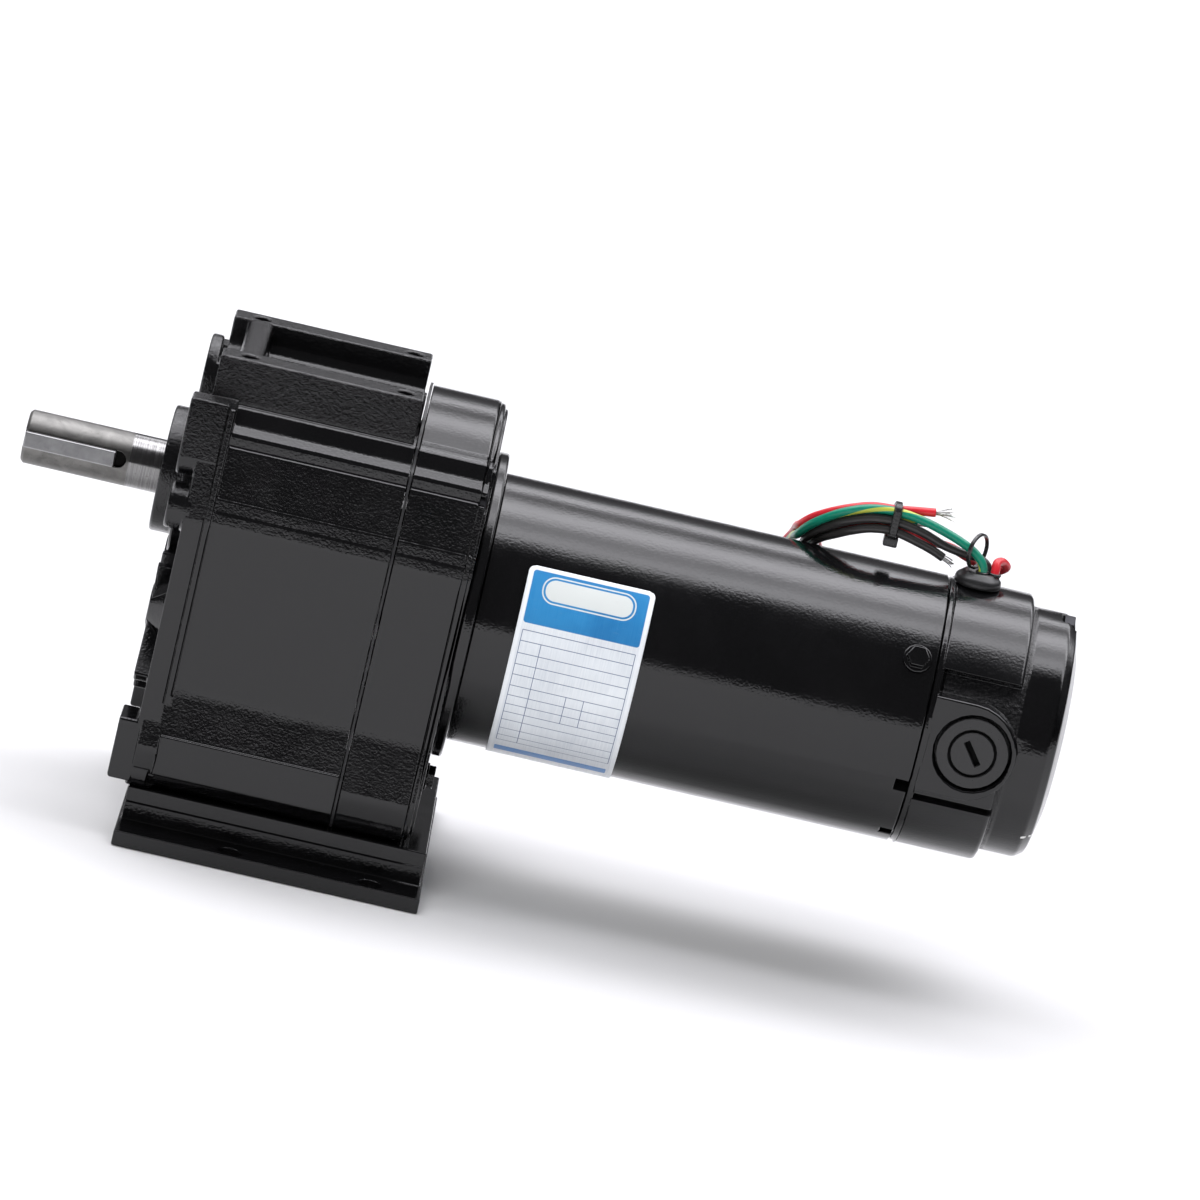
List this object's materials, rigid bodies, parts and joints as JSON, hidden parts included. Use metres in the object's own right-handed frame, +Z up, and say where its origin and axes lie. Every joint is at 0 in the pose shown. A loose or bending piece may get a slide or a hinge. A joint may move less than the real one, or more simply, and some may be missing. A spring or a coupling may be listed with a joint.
{
  "type": "gearmotor",
  "caption": "Parallel-shaft DC gearmotor: keyed output shaft, cast gear case on a bolt-down base, round motor with nameplate, and leads tied over the top.",
  "frame": {"origin": "centre of the flat underside of the mounting base", "axes": "+Z up, -X out of the output shaft, +X towards the motor's rear, +Y away from the nameplate"},
  "size_m": [0.313, 0.11, 0.1424],
  "materials": {
    "black_enamel": "gloss",
    "ground_steel": "ground",
    "key_steel": "satin",
    "gear_steel": "machined",
    "oxide_steel": "black oxide",
    "bearing_steel": "ground",
    "bronze": "sintered",
    "brass": "satin",
    "copper": "varnished wire",
    "commutator_copper": "turned",
    "laminations": "stacked",
    "magnet": "sintered",
    "spring_steel": "bright",
    "carbon": "graphite",
    "black_plastic": "moulded",
    "nameplate": "printed satin",
    "gasket": "sealant",
    "seal_rubber": "moulded",
    "grommet_rubber": "moulded",
    "black_insulation": "extruded",
    "green_insulation": "extruded",
    "red_insulation": "extruded",
    "tie_nylon": "moulded",
    "tinned_wire": "tinned"
  },
  "bodies": {
    "housing": {"gear_case_front": "black_enamel", "gear_case_rear": "black_enamel", "mounting_base": "black_enamel", "motor_front_bell": "black_enamel", "motor_tube": "black_enamel", "rear_end_bell": "black_enamel", "through_bolt_1": "oxide_steel", "through_bolt_2": "oxide_steel", "ground_screw": "black_enamel", "case_screw_5": "black_enamel", "magnet_1": "magnet", "magnet_2": "magnet", "case_gasket": "gasket", "nameplate": "nameplate", "output_bearing": "bearing_steel", "motor_bearing_front": "bearing_steel", "motor_bearing_rear": "bearing_steel", "output_bushing": "bronze", "intermediate_bushing_front": "bronze", "intermediate_bushing_rear": "bronze", "output_seal": "seal_rubber", "preload_washer": "spring_steel", "lead_grommet": "grommet_rubber", "lead_black": "black_insulation", "lead_green": "green_insulation", "lead_red": "red_insulation", "cable_tie_1": "tie_nylon", "cable_tie_2": "tie_nylon", "lead_black_strands": "tinned_wire", "lead_green_strands": "tinned_wire", "lead_red_strands": "tinned_wire", "case_screw_1": "oxide_steel", "base_screw_1": "oxide_steel", "case_screw_2": "oxide_steel", "base_screw_2": "oxide_steel", "case_screw_3": "oxide_steel", "base_screw_3": "oxide_steel", "case_screw_4": "oxide_steel", "base_screw_4": "oxide_steel", "adapter_screw_1": "oxide_steel", "brush_holder_1": "brass", "brush_1": "carbon", "brush_spring_1": "spring_steel", "brush_cap_1": "black_plastic", "adapter_screw_2": "oxide_steel", "brush_holder_2": "brass", "brush_2": "carbon", "brush_spring_2": "spring_steel", "brush_cap_2": "black_plastic"},
    "output": {"output_shaft": "ground_steel", "output_key": "key_steel", "output_gear": "gear_steel"},
    "intermediate": {"intermediate_shaft": "gear_steel", "intermediate_gear": "gear_steel"},
    "armature": {"armature_shaft": "gear_steel", "armature_core": "laminations", "armature_winding_front": "copper", "armature_winding_rear": "copper", "commutator": "commutator_copper"}
  },
  "joints": [
    {"name": "output_spin", "type": "hinge", "parent": "housing", "child": "output", "pos_m": [0, 0, 0.0985], "axis": [1, 0, 0], "continuous": true},
    {"name": "intermediate_spin", "type": "hinge", "parent": "housing", "child": "intermediate", "pos_m": [0, -0.01839, 0.06252], "axis": [1, 0, 0], "continuous": true},
    {"name": "armature_spin", "type": "hinge", "parent": "housing", "child": "armature", "pos_m": [0, 0, 0.079], "axis": [1, 0, 0], "continuous": true}
  ],
  "couplings": [
    {"joint": "intermediate_spin", "follows": "output_spin", "ratio": -4.8333},
    {"joint": "armature_spin", "follows": "output_spin", "ratio": 29}
  ]
}
